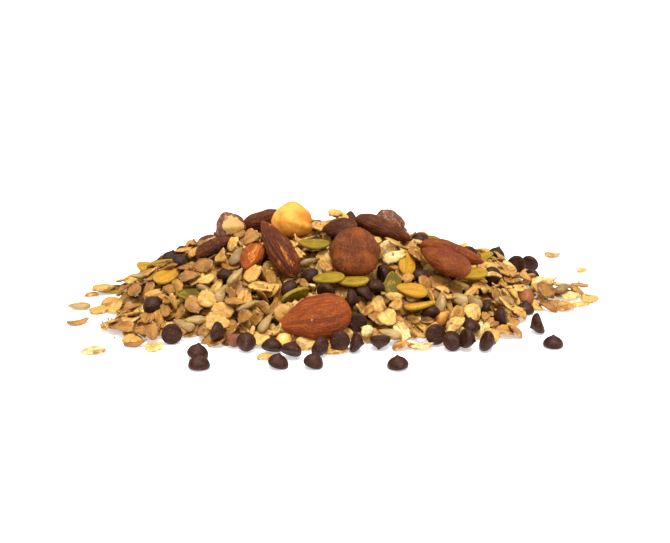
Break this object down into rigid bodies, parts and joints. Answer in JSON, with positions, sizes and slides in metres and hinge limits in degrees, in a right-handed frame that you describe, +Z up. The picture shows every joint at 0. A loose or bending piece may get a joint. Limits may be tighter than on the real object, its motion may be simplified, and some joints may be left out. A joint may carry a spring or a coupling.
{
  "type": "heap of granola",
  "caption": "Loose heap of toasted oat flakes, seeds, chocolate drops and whole nuts, lying on a flat surface with a few strays round its edge.",
  "frame": {"origin": "on the table, under the middle of everything that lies on it", "axes": "+X to the right along the heap, +Y to its back, +Z up"},
  "size_m": [0.1955, 0.13, 0.0368],
  "materials": {
    "oat_mix": "matte",
    "almond_skin": "satin",
    "hazelnut_skin": "satin",
    "hazelnut_kernel": "satin",
    "chocolate": "satin",
    "oat_flake": "matte",
    "pumpkin_seed": "satin",
    "sunflower_kernel": "matte"
  },
  "bodies": {
    "root": {"almond_back_left": "almond_skin", "almond_back_right": "almond_skin", "almond_back_slope": "almond_skin", "almond_crest_left": "almond_skin", "almond_crest_right": "almond_skin", "almond_dark": "almond_skin", "almond_end_on": "almond_skin", "almond_front": "almond_skin", "almond_left": "almond_skin", "almond_right": "almond_skin", "almond_right_back": "almond_skin", "almond_round": "almond_skin", "almond_standing": "almond_skin", "almond_tilted_back": "almond_skin", "chip_edge_right": "chocolate", "chip_front_middle": "chocolate", "chip_front_right": "chocolate", "chip_pair_front_a": "chocolate", "chip_pair_front_b": "chocolate", "chip_pair_left_a": "chocolate", "chip_pair_left_b": "chocolate", "chip_pair_middle_a": "chocolate", "chip_pair_middle_b": "chocolate", "chip_side_right": "chocolate", "flake_back_a": "oat_flake", "flake_back_b": "oat_flake", "flake_left_front": "oat_flake", "flake_left_long": "oat_flake", "flake_left_small": "oat_flake", "flake_right_back": "oat_flake", "flake_right_small": "oat_flake", "flake_under_pair": "oat_flake", "hazelnut_back": "hazelnut_skin", "hazelnut_back_left": "hazelnut_skin", "hazelnut_blanched": "hazelnut_kernel", "hazelnut_left": "hazelnut_skin", "hazelnut_right": "hazelnut_skin", "heap": "oat_mix", "kernel_left": "sunflower_kernel", "pepita_left": "pumpkin_seed"}
  },
  "joints": []
}
